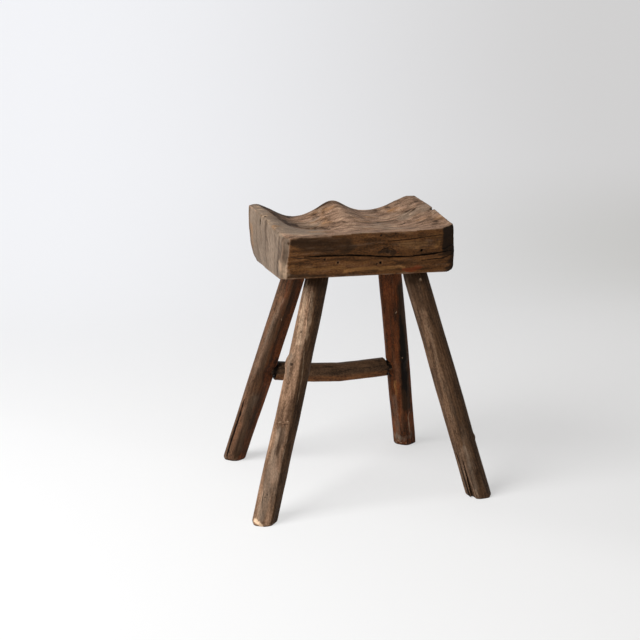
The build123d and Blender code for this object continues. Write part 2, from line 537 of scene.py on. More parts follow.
def even_mesh(node: str, cell: float) -> bpy.types.Mesh:
    """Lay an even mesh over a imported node's surface, which keeps its arrises.

    Args:
        node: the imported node.
        cell: size of the mesh's faces.

    Returns:
        The new mesh.
    """
    source = frame["nodes"][node].data.copy()
    work = bmesh.new()
    work.from_mesh(source)
    bmesh.ops.remove_doubles(work, verts=work.verts, dist=0.005 * MM)
    work.to_mesh(source)
    work.free()
    blank = bpy.data.objects.new("blank", source)
    bpy.context.scene.collection.objects.link(blank)
    low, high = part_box(node)
    longest = max(high - low)
    remesh = blank.modifiers.new("even", "REMESH")
    remesh.mode = "SHARP"
    remesh.octree_depth = math.ceil(math.log2(longest / (0.98 * cell)))
    remesh.scale = longest / (cell * 2 ** remesh.octree_depth)
    evaluated = blank.evaluated_get(bpy.context.evaluated_depsgraph_get())
    mesh = bpy.data.meshes.new_from_object(evaluated)
    bpy.data.objects.remove(blank)
    return mesh


class Tree:
    """A node tree under construction, with short calls for the nodes that wood needs."""

    def __init__(self, tree: bpy.types.NodeTree) -> None:
        """Take up a material's or a group's tree."""
        self.tree = tree

    def feed(self, socket: Socket, value: Value) -> None:
        """Link a socket to another, or set its value.

        Args:
            socket: the input.
            value: the other socket, or what to set.
        """
        if isinstance(value, Socket):
            self.tree.links.new(value, socket)
        else:
            opaque = isinstance(value, tuple) and len(socket.default_value) == 4
            socket.default_value = (*value, 1.0) if opaque else value

    def node(self, kind: str, inputs: dict[int | str, Value], **settings: object) -> bpy.types.Node:
        """Add a node.

        Args:
            kind: its type.
            inputs: what its inputs are fed.
            settings: its settings by name.

        Returns:
            The node.
        """
        made = self.tree.nodes.new("ShaderNode" + kind)
        for name, value in settings.items():
            setattr(made, name, value)
        for place, value in inputs.items():
            self.feed(made.inputs[place], value)
        return made

    def group(self, group: bpy.types.NodeTree, values: dict[str, Value]) -> dict[str, Socket]:
        """Place a shared group with its own values by name, and give its outputs by name."""
        return {output.name: output for output in self.node("Group", values, node_tree=group).outputs}

    def math(self, operation: str, *values: Value) -> Socket:
        """The result of a sum on one, two or three values."""
        return self.node("Math", dict(enumerate(values)), operation=operation).outputs[0]

    def times(self, first: Value, second: Value) -> Socket:
        """One value times another."""
        return self.math("MULTIPLY", first, second)

    def plus(self, first: Value, second: Value) -> Socket:
        """One value and another together."""
        return self.math("ADD", first, second)

    def minus(self, first: Value, second: Value) -> Socket:
        """One value less another."""
        return self.math("SUBTRACT", first, second)

    def mix(self, share: Value, first: Value, second: Value) -> Socket:
        """One colour laid over another."""
        return self.node("Mix", {0: share, 6: first, 7: second}, data_type="RGBA").outputs[2]

    def ramp(self, value: Value, low: float, high: float) -> Socket:
        """A smooth rise from 0 at low to 1 at high."""
        return self.node("MapRange", {0: value, 1: low, 2: high}, interpolation_type="SMOOTHSTEP").outputs[0]

    def noise(self, where: Socket, cells: Triple, detail: float, seed: Value = (0, 0, 0)) -> Socket:
        """Lay noise from 0 to 1.

        Args:
            where: the place on the wood.
            cells: how many to the metre, along the grain and across it.
            detail: how fine it gets.
            seed: a shift that tells one wood's noise from another's.

        Returns:
            The noise.
        """
        scaled = self.node("VectorMath", {0: where, 1: cells}, operation="MULTIPLY").outputs[0]
        moved = self.node("VectorMath", {0: scaled, 1: seed}, operation="ADD").outputs[0]
        return self.node("TexNoise", {"Vector": moved, "Scale": 1.0, "Detail": detail}).outputs["Fac"]

    def seen(self) -> Socket:
        """Tell where the camera looks, straight or by a mirror or through glass.

        Returns:
            1 there, and 0 elsewhere.
        """
        path = self.node("LightPath", {}).outputs
        bent = self.math("MAXIMUM", path["Is Glossy Ray"], path["Is Transmission Ray"])
        return self.math("MAXIMUM", path["Is Camera Ray"], bent)

    def attribute(self, name: str, output: str = "Fac") -> Socket:
        """A mask that the mesh carries, or its Vector."""
        return self.node("Attribute", {}, attribute_name=name).outputs[output]


# The kind of a group's input or output, by its name, where it isn't a plain number
SOCKET_KINDS = {
    **dict.fromkeys(("Color", "Light", "Middle", "Dark", "Tint", "Rubbed", "Dirt"), "Color"),
    **dict.fromkeys(("Place", "Seed"), "Vector"),
}


@dataclass
class Effects:
    """The effects that every wood shares, each a node group made once.

    The noises are those of streaks, fibres, patches, pores and specks. Each is given by its cells to
    the metre, along the grain and across it, and by its detail.
    """

    noises: tuple[tuple[Triple, float], ...] = (
        ((22, 110, 110), 3), ((40, 900, 900), 3), ((22, 60, 60), 2), ((160, 1500, 1500), 1),
        ((260, 480, 480), 3),
    )
    ring_shake: float = 0.35
    streak_share: float = 0.42
    fibre_share: float = 0.22
    speck_share: float = 0.36
    pore_shade: float = 0.5
    tint_least: float = 0.65
    tint_gain: float = 0.7
    edge_tear: float = 4.5
    rubbed_share: float = 0.6
    dirt_share: float = 0.5
    line_height: float = 0.35
    pore_depth: float = 0.45

    def __post_init__(self) -> None:
        """Make the groups."""
        self.grain = self.make_grain()
        self.timber = self.make_timber()
        self.stain = self.make_stain()
        self.wear = self.make_wear()
        self.relief = self.make_relief()

    @staticmethod
    def start(name: str, inputs: str, outputs: str) -> tuple[Tree, dict, dict]:
        """Start a group.

        Args:
            name: the group's name.
            inputs: the names of its inputs.
            outputs: the names of its outputs.

        Returns:
            The group's tree, its inputs by name, and its outputs by name.
        """
        group = bpy.data.node_groups.new(name, "ShaderNodeTree")
        for way, labels in (("INPUT", inputs), ("OUTPUT", outputs)):
            for label in labels.split():
                kind = SOCKET_KINDS.get(label, "Float")
                group.interface.new_socket(name=label, in_out=way, socket_type="NodeSocket" + kind)
        given, made = (group.nodes.new("NodeGroup" + end) for end in ("Input", "Output"))
        return Tree(group), given.outputs, made.inputs

    def make_grain(self) -> bpy.types.NodeTree:
        """Make the wood's pattern: ring lines, broad streaks, fine fibres, pores and specks.

        Returns:
            The group.
        """
        tree, given, made = self.start("grain", "Place Rings Spacing Seed", "Line Streak Fibre Pore Speck")
        streak, fibre, patch, pore, speck = (
            tree.noise(given["Place"], cells, detail, given["Seed"]) for cells, detail in self.noises
        )
        count = tree.math("DIVIDE", given["Rings"], given["Spacing"])
        ring = tree.math("FRACT", tree.plus(count, tree.times(fibre, self.ring_shake)))
        late = tree.times(tree.ramp(ring, 0.45, 0.9), tree.ramp(ring, 1.0, 0.9))
        tree.feed(made["Line"], tree.times(late, tree.ramp(patch, 0.38, 0.62)))
        tree.feed(made["Streak"], tree.ramp(streak, 0.3, 0.7))
        tree.feed(made["Fibre"], fibre)
        tree.feed(made["Pore"], tree.ramp(pore, 0.62, 0.74))
        tree.feed(made["Speck"], tree.ramp(speck, 0.35, 0.65))
        return tree.tree

    def make_timber(self) -> bpy.types.NodeTree:
        """Make the wood's own colour, from its three tones and its pattern.

        Returns:
            The group.
        """
        tree, given, made = self.start(
            "timber", "Light Middle Dark Line Streak Fibre Pore Speck Lines", "Color Pattern")
        rise = tree.ramp(given["Fibre"], 0.35, 0.7)
        lit = tree.plus(tree.times(given["Streak"], self.streak_share), tree.times(rise, self.fibre_share))
        lit = tree.plus(lit, tree.times(given["Speck"], self.speck_share))
        line = tree.minus(1.0, tree.times(given["Line"], given["Lines"]))
        pore = tree.minus(1.0, tree.times(given["Pore"], self.pore_shade))
        shown = tree.times(tree.times(lit, line), pore)
        low = tree.mix(tree.ramp(shown, 0.1, 0.5), given["Dark"], given["Middle"])
        tree.feed(made["Color"], tree.mix(tree.ramp(shown, 0.45, 0.9), low, given["Light"]))
        tree.feed(made["Pattern"], shown)
        return tree.tree

    def make_stain(self) -> bpy.types.NodeTree:
        """Make a tint under a mask whose edge the grain breaks up.

        Returns:
            The group.
        """
        tree, given, made = self.start("stain", "Color Tint Mask Break Pattern", "Color")
        depth = tree.plus(tree.times(given["Pattern"], self.tint_gain), self.tint_least)
        scaled = tree.node("VectorMath", {0: given["Tint"], "Scale": depth}, operation="SCALE").outputs[0]
        border = tree.times(given["Mask"], tree.minus(1.0, given["Mask"]))
        torn = tree.times(tree.minus(given["Break"], 0.5), self.edge_tear)
        share = tree.ramp(tree.plus(given["Mask"], tree.times(border, torn)), 0.0, 1.0)
        tree.feed(made["Color"], tree.mix(share, given["Color"], scaled))
        return tree.tree

    def make_wear(self) -> bpy.types.NodeTree:
        """Make arrises rubbed pale and hollows filled with dirt.

        Returns:
            The group.
        """
        tree, given, made = self.start("wear", "Color Arris Hollow Rubbed Dirt Break", "Color")
        rubbed = tree.times(given["Arris"], tree.ramp(given["Break"], 0.3, 0.7))
        pale = tree.mix(tree.times(rubbed, self.rubbed_share), given["Color"], given["Rubbed"])
        dirt = tree.times(given["Hollow"], self.dirt_share)
        tree.feed(made["Color"], tree.mix(dirt, pale, given["Dirt"]))
        return tree.tree

    def make_relief(self) -> bpy.types.NodeTree:
        """Make the fine height of the surface, from its pattern.

        Returns:
            The group.
        """
        tree, given, made = self.start("relief", "Line Fibre Pore Soil", "Height")
        ridges = tree.plus(given["Fibre"], tree.times(given["Line"], self.line_height))
        pits = tree.plus(tree.times(given["Pore"], self.pore_depth), given["Soil"])
        tree.feed(made["Height"], tree.minus(ridges, pits))
        return tree.tree


@dataclass(frozen=True)
class Palette:
    """Three tones of one wood."""

    light: Triple
    middle: Triple
    dark: Triple


@dataclass(frozen=True)
class WoodFinish:
    """The finish of one kind of piece, whose name is its material's."""

    name: str
    # The first palette goes where the piece's mask is full: rubbed, bleached wood, and painted light where a
    # face is made paler or darker for how the lamp falls on it. The second goes elsewhere.
    worn: Palette
    sheltered_and_painted_light: Palette
    ring_spacing: float
    seed: float
    lines: float = 0.5
    roughness: Span = (0.5, 0.78)
    gloss: float = 0.08
    relief: float = 0.35 * MM
    mottle: Triple = (60, 160, 160)
    dirt: Triple = shade(28, 19, 12)
    tints: tuple[tuple[Tone, Triple], ...] = (
        (Tone.GREY, shade(130, 113, 97)),
        (Tone.GOLD, shade(150, 106, 62)),
        (Tone.RUST, shade(116, 56, 28)),
        # Dark stain, and painted shade where marks lay it under the seat, past the scoop's lip and on the
        # shaded side of a leg.
        (Tone.DARK, shade(52, 34, 19)),
        (Tone.PALE, shade(222, 190, 158)),
        # Near black: dirt in cracks and holes, and painted shadow in gaps and under the feet.
        (Tone.SOIL, shade(20, 12, 6)),
    )

    def build(self, effects: Effects) -> bpy.types.Material:
        """Build the material.

        Args:
            effects: the shared node groups.

        Returns:
            The material.
        """
        material = bpy.data.materials.new(self.name)
        material.use_nodes = True
        tree = Tree(material.node_tree)
        shader = material.node_tree.nodes["Principled BSDF"]
        place = tree.attribute("grain", "Vector")
        grain = tree.group(effects.grain, {
            "Place": place, "Rings": tree.attribute("rings"), "Spacing": self.ring_spacing,
            "Seed": (self.seed, self.seed * 2, self.seed * 3),
        })
        # The mask mixes the two palettes: partly wear, partly painted light and shade.
        worn = tree.attribute("worn")
        tones = {
            tone.capitalize(): tree.mix(worn, getattr(self.sheltered_and_painted_light, tone), getattr(self.worn, tone))
            for tone in ("light", "middle", "dark")
        }
        timber = tree.group(effects.timber, {**tones, **grain, "Lines": self.lines})
        colour = timber["Color"]
        mottle = tree.noise(place, self.mottle, 3.0)
        edge = tree.times(tree.plus(grain["Fibre"], mottle), 0.5)
        for tone, tint in self.tints:
            colour = tree.group(effects.stain, {
                "Color": colour, "Tint": tint, "Mask": tree.attribute(tone.value), "Break": edge,
                "Pattern": timber["Pattern"],
            })["Color"]
        colour = tree.group(effects.wear, {
            "Color": colour, "Arris": tree.attribute("arris"), "Hollow": tree.attribute("hollow"),
            "Rubbed": self.worn.light, "Dirt": self.dirt, "Break": mottle,
        })["Color"]
        smooth, rough = self.roughness
        height = tree.group(effects.relief, {
            **{name: grain[name] for name in ("Line", "Fibre", "Pore")}, "Soil": tree.attribute("soil"),
        })["Height"]
        bump = tree.node("Bump", {"Distance": self.relief, "Height": height})
        for name, value in {
            "Base Color": colour,
            "Roughness": tree.math("MULTIPLY_ADD", grain["Fibre"], rough - smooth, smooth),
            "Specular IOR Level": self.gloss,
            "Normal": bump.outputs["Normal"],
        }.items():
            tree.feed(shader.inputs[name], value)
        return material


SEAT_WOOD = WoodFinish(
    name="seat_wood",
    worn=Palette(shade(173, 141, 117), shade(140, 111, 90), shade(92, 69, 52)),
    sheltered_and_painted_light=Palette(shade(118, 79, 45), shade(92, 59, 32), shade(58, 37, 19)),
    ring_spacing=11 * MM,
    seed=1.7,
)
FRONT_LEG_WOOD = WoodFinish(
    name="leg_wood",
    worn=Palette(shade(168, 134, 108), shade(132, 102, 79), shade(86, 63, 46)),
    sheltered_and_painted_light=Palette(shade(92, 66, 45), shade(72, 51, 34), shade(44, 30, 19)),
    ring_spacing=3.4 * MM,
    seed=4.1,
)
REAR_LEG_WOOD = WoodFinish(
    name="rear_leg_wood",
    worn=Palette(shade(118, 93, 73), shade(96, 74, 57), shade(62, 46, 34)),
    sheltered_and_painted_light=Palette(shade(128, 70, 36), shade(96, 52, 26), shade(50, 28, 14)),
    ring_spacing=3.4 * MM,
    seed=7.9,
)
# The stick's first palette is darker than its second: painted shade for its upper side, under the seat.
STRETCHER_WOOD = WoodFinish(
    name="stretcher_wood",
    worn=Palette(shade(110, 82, 60), shade(84, 62, 44), shade(48, 34, 23)),
    sheltered_and_painted_light=Palette(shade(142, 94, 58), shade(112, 73, 45), shade(64, 40, 24)),
    ring_spacing=2.0 * MM,
    seed=11.3,
    lines=0.6,
)


@dataclass(kw_only=True)
class Hewn(ABC):
    """What every wooden piece has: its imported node, its finish and the marks that the photograph shows."""

    node: str
    finish: WoodFinish
    seed: int
    cell: float
    ring_wander: float
    swell: float
    fibre_height: float
    late_height: float = 0
    cut_band: float = 2.4 * MM
    grooves: tuple[Groove, ...] = ()
    pits: tuple[Pit, ...] = ()
    strokes: tuple[Stroke, ...] = ()

    def build(self, effects: Effects) -> None:
        """Shape and dress the piece.

        Args:
            effects: the shared node groups.
        """
        wood = Wood(even_mesh(self.node, self.cell), self.seed, self.grain_way())
        self.shape(wood)
        wood.settle()
        self.divide(wood)
        self.weather(wood)
        wood.cut(self.grooves, self.pits)
        wood.paint(self.strokes)
        wood.mark_edges(self.rubbing(wood))
        piece = wood.finish(self.node, self.finish.build(effects))

    def grain_way(self) -> Array:
        """The direction of the grain."""
        return np.array((1.0, 0.0, 0.0))

    def shape(self, wood: Wood) -> None:
        """Give the mesh its form, which is at least rounded at the arrises."""
        wood.soften(2)

    def divide(self, wood: Wood) -> None:
        """Divide the mesh where cracks run."""
        if self.grooves:
            wood.refine([wood.trace(groove.pixels) for groove in self.grooves], self.cut_band)

    @abstractmethod
    def weather(self, wood: Wood) -> None:
        """Lay out the grain and wear the surface along it."""

    def rubbing(self, wood: Wood) -> Array | float:
        """How much the arrises are rubbed."""
        return 1.0

    def late_wood(self, rings: Array) -> Array:
        """Where the hard late wood of the rings stands out, at 1, and the soft lies low, at -1."""
        return np.sin(2 * np.pi * rings / self.finish.ring_spacing)


@dataclass(frozen=True)
class Trim:
    """A last thin move of the seat's surface, out along its normals.

    It is full where the measure named in each of its rises has got from the first value to the second.
    """

    amount: float
    rises: tuple[tuple[str, float, float], ...]


@dataclass(kw_only=True)
class Seat(Hewn):
    """The carved block."""

    node: str = "seat"
    finish: WoodFinish = SEAT_WOOD
    seed: int = 31
    cell: float = 1.8 * MM
    ring_wander: float = 11 * MM
    swell: float = 0.6 * MM
    fibre_height: float = 0.17 * MM
    late_height: float = 0.1 * MM
    cut_band: float = 4.5 * MM
    deep_groove: float = 1.5
    deep_band: float = 2.2 * MM
    pith_y: float = -0.150
    pith_z: float = 0.560
    lip_depth: float = 4.5 * MM
    lip_reach: float = 20 * MM
    lip_points: int = 60
    lip_smoothing: int = 12
    rim_width: Span = (22 * MM, 60 * MM)
    end_grain: Triple = (0.7, 0.45, 0.45)
    top_grain: Triple = (2.0, 1.0, 0.4)
    left_half: Span = (0.0, -0.1)
    rear_edge: Span = (0.066, 0.090)
    near_corner: Span = (-0.035, -0.075)
    lip: Pixels = (
        (262, 205.4), (266, 208.5), (271.3, 212.8), (278.9, 219.4), (284.4, 223.5), (293.2, 226.9),
        (304, 228.6), (316, 229.3), (333, 229.8),
    )
    lip_depths: tuple[float, ...] = (0.082, 0.062, 0.044, 0.016, -0.004, -0.013, -0.014, -0.016, -0.024)
    soft_edge: Pixels = ((258, 213), (267, 221), (276, 229), (283, 235.5))
    flat_start: float = 0.1334
    flat_foot: float = 0.430
    trims: tuple[Trim, ...] = (
        Trim(1.7, (("right", 0.5, 0.8), ("x", 100, 140), ("z", 477, 469))),
        Trim(1.9, (("y", 20, 70), ("z", 452, 425), ("z", 398, 410), ("left", *FACING), ("x", -80, -120))),
        Trim(1.2, (("y", 50, 10), ("z", 440, 420), ("left", *FACING), ("x", -80, -120))),
        Trim(-1.9, (("up", *FACING), ("y", 20, 70), ("x", -118, -132))),
        Trim(-1.1, (("up", *FACING), ("y", 20, 70), ("x", 118, 126))),
    )
    grooves: tuple[Groove, ...] = (
        Groove(((304, 256.6), (322, 256), (342, 255), (366, 255.3), (389, 256.5), (413, 255.7),
                (437, 252.5), (452, 249.2)), 1.7, 5),
        Groove(((388, 240.6), (398, 240), (410, 238.6), (425, 236.6), (442, 234)), 0.9, 1.6, 0.8),
        Groove(((420, 260), (432, 258.6), (442, 257.5), (453, 253)), 1, 1.8, 0.9),
        Groove(((436, 249.5), (445, 247.5), (453, 243.5)), 1, 1.6, 0.9),
        Groove(((289.5, 256.8), (300, 258), (312, 258.6), (324, 258.8)), 0.9, 1.2, 0.8),
        Groove(((260.2, 218), (259.6, 225)), 2.6, 4),
        Groove(((318, 226.4), (324, 228), (330.5, 229.4)), 1.1, 1.4, 0.9),
        Groove(((414.8, 238.5), (415.2, 243), (414.6, 248)), 0.7, 0.8, 0.6),
        Groove(((379.5, 252), (382, 249), (387, 247.5), (392, 248.3), (396, 251)), 1, 1.2, 0.9),
    )
    pits: tuple[Pit, ...] = (
        Pit((264.6, 216), 2, 3), Pit((421.5, 249.7), 2.7, 6), Pit((380.2, 262.3), 2.6, 6),
        Pit((376.4, 263.4), 1.5, 3), Pit((337.6, 262.2), 1.8, 3, 1, 0.15), Pit((324.5, 259), 2.4, 1.5, 0.7),
        Pit((381, 235), 2.4, 1.5, 0.8), Pit((395.5, 233.4), 1.7, 1.2, 0.7),
        Pit((387.5, 250.8), 4, 0.8, 0.45), Pit((431.8, 208), 5.5, 5, 0.6), Pit((325, 216), 1.2, 0.8, 0.6),
        Pit((331, 221), 1.4, 0.8, 0.6),
    )
    strokes: tuple[Stroke, ...] = (
        *brush(
            Tone.DARK, (20, 0.8, ((304, 243), (312, 244), (330, 243), (345, 244))),
            (9, 0.8, ((293, 242), (304, 242))),
            (9, 0.35, ((317, 206), (325, 202.5), (333, 201.5), (341, 204.5), (351, 209))),
            # Painted shade on the scoop's wall beyond the left lip.
            (7, 0.3, ((272, 212.5), (280, 218.5), (288, 223), (298, 225.5), (312, 226.5), (330, 227.5))),
            (6, 0.4, ((318, 222), (324, 218), (330, 215))), (6, 0.4, ((334, 222), (346, 221.5))),
            (15, 0.25, ((406, 202), (414, 207), (424, 213), (436, 219))),
            (3, 0.8, ((437, 253.5), (445, 255), (452.5, 252))), (12, 0.4, ((350, 246), (372, 244))),
            (11, 1, ((451.5, 250), (451.5, 262), (449, 269))),
            (3.5, 0.7, ((291, 275), (320, 275.5), (360, 274.5))),
            (5.5, 0.95, ((381, 251.5), (387.3, 250.5), (394, 251.5))),
            (7, 0.4, ((398, 262), (418, 261.5), (440, 260))),
            (4, 0.4, ((396, 214), (404, 210), (410, 204))), (5, 0.3, ((420, 222), (430, 218), (440, 221))),
            (5, 0.3, ((266, 236), (268, 252))), (4, 0.3, ((273, 228), (275, 240))),
            (3.2, 0.7, ((364, 222.5), (377, 222), (399, 217), (415, 207.5))),
            (3, 0.7, ((398, 225), (404, 222.5), (410, 219.5))),
            (3, 0.45, ((370, 217), (382, 214.5), (392, 209))),
            (1.6, 0.5, ((312, 214), (322, 218), (330, 222))), (1.6, 0.4, ((326, 211), (334, 210))),
            # Painted shade along the left lip's edge.
            (2.4, 0.6, ((281, 220.6), (290, 224.8), (300, 227.2), (314, 228.3), (330, 229))),
        ),
        *brush(
            Tone.GOLD, (6, 0.35, ((292, 268), (315, 268), (342, 267))),
            (5, 0.6, ((345, 270), (362, 269), (385, 267.5), (405, 266.5))),
            (8, 0.4, ((402, 244), (414, 244), (424, 243))), (6, 0.4, ((434, 245), (440, 242))),
            (9, 0.35, ((322, 214), (328, 208), (333, 206))), (10, 0.25, ((385, 209), (396, 207))),
            (10, 0.45, ((251, 225), (252.5, 245))), (10, 0.2, ((279, 262), (284, 274))),
        ),
        *brush(
            Tone.PALE, (9, 0.1, ((395, 246), (412, 245), (432, 243))),
            (13, 0.32, ((279, 264), (282, 269), (285, 275))), (5, 0.2, ((376, 219.5), (388, 217.5))),
            (5, 0.2, ((352, 226), (366, 226.5), (380, 225.5))),
        ),
        *brush(Tone.SOIL, (7, 0.5, ((452, 250), (452, 262), (449.5, 269.5)))),
        *brush(
            Tone.RUST, (2.5, 0.5, ((394.5, 250), (396.5, 251))),
            (5.5, 0.8, ((406, 269), (413, 268.5), (419, 267.5))),
        ),
    )

    def __post_init__(self) -> None:
        """Lay out the left scoop's lip in space."""
        corners = SIGHT.at_depth(self.lip, self.lip_depths)
        places = np.linspace(0, len(corners) - 1, self.lip_points)
        line = np.stack([np.interp(places, np.arange(len(corners)), column) for column in corners.T], 1)
        for _ in range(self.lip_smoothing):
            line[1:-1] = (line[:-2] + 2 * line[1:-1] + line[2:]) / 4
        self.lip_line = line

    def shape(self, wood: Wood) -> None:
        """Soften the left end's arris, carve the lip and trim the outline.

        Args:
            wood: the seat's mesh.
        """
        edge = wood.reach(wood.points(), wood.trace(self.soft_edge))[0]
        wood.soften(40, ease(edge, 15 * MM, 6 * MM))
        wood.settle()
        wood.refine([self.lip_line * (1, 1, 0)], 6 * MM, flat=True)
        self.shape_rim(wood)
        self.trim(wood)
        wood.soften(1)

    def divide(self, wood: Wood) -> None:
        """Divide the mesh round cracks and holes, and once more along the deep cracks.

        Args:
            wood: the seat's mesh.
        """
        chains = [wood.trace(groove.pixels) for groove in self.grooves]
        wood.refine(chains + [wood.trace((pit.pixel,)) for pit in self.pits], self.cut_band)
        deep = [chain for chain, groove in zip(chains, self.grooves) if groove.depth > self.deep_groove]
        wood.refine(deep, self.deep_band)

    def rubbing(self, wood: Wood) -> Array:
        """How much the arrises are rubbed, less along the softened one."""
        edge = wood.reach(wood.points(), wood.trace(self.soft_edge))[0]
        return 1 - 0.8 * ease(edge, 14 * MM, 6 * MM)

    def past_lip(self, points: Array) -> tuple[Array, Array, Array]:
        """Measure points against the left scoop's lip, seen from above.

        Args:
            points: the points, one row each.

        Returns:
            The distance past the lip, negative on the rim, the share of the way along it from the
            back, and the rim's width there.
        """
        plan, lip = points[:, :2], self.lip_line[:, :2]
        apart, share = Wood.reach(plan, lip)
        near = np.clip((share * (len(lip) - 1)).astype(int), 1, len(lip) - 3)
        way, off = lip[near + 2] - lip[near - 1], plan - lip[near]
        narrow, wide = self.rim_width
        width = narrow + (wide - narrow) * ease(share, 0.2, 0.6)
        return apart * np.sign(way[:, 0] * off[:, 1] - way[:, 1] * off[:, 0]), share, width

    def shape_rim(self, wood: Wood) -> None:
        """Bring the left rim up to its lip and sink the scoop's wall just past it.

        Args:
            wood: the seat's mesh.
        """
        lip = self.lip_line
        below = np.array([wood.tree.ray_cast(Vector((x, y, 1.0)), DOWN)[0].z for x, y, z in lip])
        points = wood.points()
        past, share, width = self.past_lip(points)
        missing = np.interp(share, np.linspace(0, 1, len(lip)), lip[:, 2] - below)
        log.info("rim raised by %.1f to %.1f mm", missing.min() / MM, missing.max() / MM)
        rise = missing * ease(past / width, -1.0, -0.05) * ease(past, 2.5 * MM, 0.0)
        fade = (0.2 + 0.8 * ease(share, 0.0, 0.25)) * ease(share, 1.0, 0.8)
        drop = self.lip_depth * fade * ease(past, 0.0, 2.5 * MM)
        drop *= np.exp(-np.maximum(past, 0) / self.lip_reach)
        points[:, 2] += (rise - drop) * ease(wood.normals()[:, 2], *FACING)
        wood.place(points)

    def trim(self, wood: Wood) -> None:
        """Move the ends and the rear rim by the last millimetres that the photograph shows.

        Args:
            wood: the seat's mesh.
        """
        normals = wood.normals()
        measures = dict(zip("xyz", wood.points().T / MM))
        measures |= {"right": normals[:, 0], "left": -normals[:, 0], "up": normals[:, 2]}
        moved = np.zeros(len(normals))
        for trim in self.trims:
            moved += trim.amount * np.prod([ease(measures[name], *span) for name, *span in trim.rises], 0)
        wood.raise_by(moved * MM)

    def weather(self, wood: Wood) -> None:
        """Lay out the grain and wear the surface along it.

        Args:
            wood: the seat's mesh.
        """
        points, normals, noise = wood.points(), wood.normals(), wood.noise
        x, y, z = points.T
        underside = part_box(self.node)[0].z
        rings = np.hypot(y - self.pith_y, z - self.pith_z)
        rings += self.ring_wander * noise.layered(points, (90, 36, 30))
        wood.masks["rings"] = rings
        top = ease(normals[:, 2], 0.25, 0.6) * ease(z, underside + 30 * MM, underside + 45 * MM)
        left = ease(-normals[:, 0], 0.35, 0.55) * ease(x, *self.left_half)
        end = ease(-normals[:, 0], 0.3, 0.45) * ease(x, *self.left_half)
        arris = wood.trace(self.soft_edge)
        along, high = (np.polyval(np.polyfit(arris[:, 1], arris[:, k], 1), y) for k in (0, 2))
        fallen = np.stack((z - high + along, y, x - along + high), 1)
        places = [points, fallen * self.end_grain, points * self.top_grain]
        wood.turn_grain([end, top * (1 - end)], places)
        # Painted light in part: the top and the left end take the paler first palette and the other faces the
        # darker second one. The top is pale from wear, the left end also because it faces the lamp, and the
        # front is dark partly as painted shade.
        wood.masks["worn"] = np.clip(top + left, 0, 1)
        self.tint(wood, top, left)
        sheltered_and_painted_light = 1 - wood.masks["worn"]
        heights = self.swell * noise.layered(points, (34, 24, 18), 2) * (0.5 + 0.5 * sheltered_and_painted_light)
        heights += self.fibre_height * noise.layered(points, (26, 2.8, 2.8), 2) * (1 - left)
        heights += self.late_height * self.late_wood(rings)
        wood.raise_by(heights * (1 - 0.7 * ease(-normals[:, 2], 0.5, 0.9)))

    def tint(self, wood: Wood, top: Array, left: Array) -> None:
        """Lay broad tones on the top, the left end and the other sides, with painted shade on the scoop's
        wall and along the rear edge of the top.

        Args:
            wood: the seat's mesh.
            top: how much each vertex belongs to the carved top.
            left: how much it belongs to the left end.
        """
        points, noise = wood.points(), wood.noise
        x, y, z = points.T
        sheltered_and_painted_light = 1 - wood.masks["worn"]
        blotch = noise.layered(points, (60, 26, 26))
        patch = noise.layered(points + 1, (34, 14, 14))
        upright = noise.layered(points, (30, 9, 70), 2)
        lengthwise = noise.layered(points, (90, 9, 6))
        spots = noise.layered(points + 3, (15, 9, 9), 2)
        swirl = noise.layered(points + 2, (70, 24, 20))
        lines = np.exp(-((np.abs(swirl) % 0.22 - 0.11) / 0.016) ** 2) * ease(patch + 0.5 * blotch, -0.3, 0.3)
        past, share, width = self.past_lip(points)
        rim = top * ease(past / width, -1.3, -0.9) * ease(past, 1.5 * MM, -0.5 * MM) * ease(share, 1.0, 0.8)
        # Painted shade: the scoop's wall just past the lip, turned away from the lamp, is darkened.
        wall = top * ease(past, 0.0, 2 * MM) * ease(past, 70 * MM, 20 * MM) * ease(share, 1.0, 0.8)
        ragged = x + 4 * MM * blotch + 2 * MM * patch
        chopped = ease(ragged, self.flat_start - 4 * MM, self.flat_start + 2 * MM) * sheltered_and_painted_light
        chopped *= ease(z + 6 * MM * lengthwise, self.flat_foot - 14 * MM, self.flat_foot + 4 * MM)
        chopped *= ease(y + 9 * MM * patch, *self.near_corner)
        wood.lay(Tone.GREY, top * (1 - rim) * 0.6 * ease(-blotch, 0.05, 0.5) + 0.8 * rim, left * 0.9)
        golden = top * 0.45 * ease(patch, 0.1, 0.6)
        wood.lay(Tone.GOLD, golden + 0.35 * sheltered_and_painted_light * ease(lengthwise, 0.2, 0.7))
        wood.lay(Tone.PALE, 0.3 * top * (1 - wall) * ease(-spots, 0.1, 0.6))
        wood.lay(Tone.SOIL, 0.55 * chopped)
        wood.lay(
            Tone.DARK,
            left * (0.27 + 0.35 * ease(upright, -0.2, 0.5)),
            # Painted shade along the rear edge of the top and on the scoop's wall.
            0.3 * top * ease(y, *self.rear_edge),
            wall * (0.6 + 0.2 * blotch),
            top * 0.4 * ease(-patch, 0.2, 0.6) + 0.3 * sheltered_and_painted_light * ease(-lengthwise, 0.15, 0.7),
            0.48 * top * (1 - rim) * ease(spots, 0.1, 0.55),
            0.35 * top * lines,
            chopped,
        )


@dataclass(frozen=True)
class Facet:
    """A flat that was hewn along a pole.

    Its bearing is in degrees from the direction to the camera, positive to the right in the
    photograph. Its depth is a share of the radius.
    """

    bearing: float
    depth: float


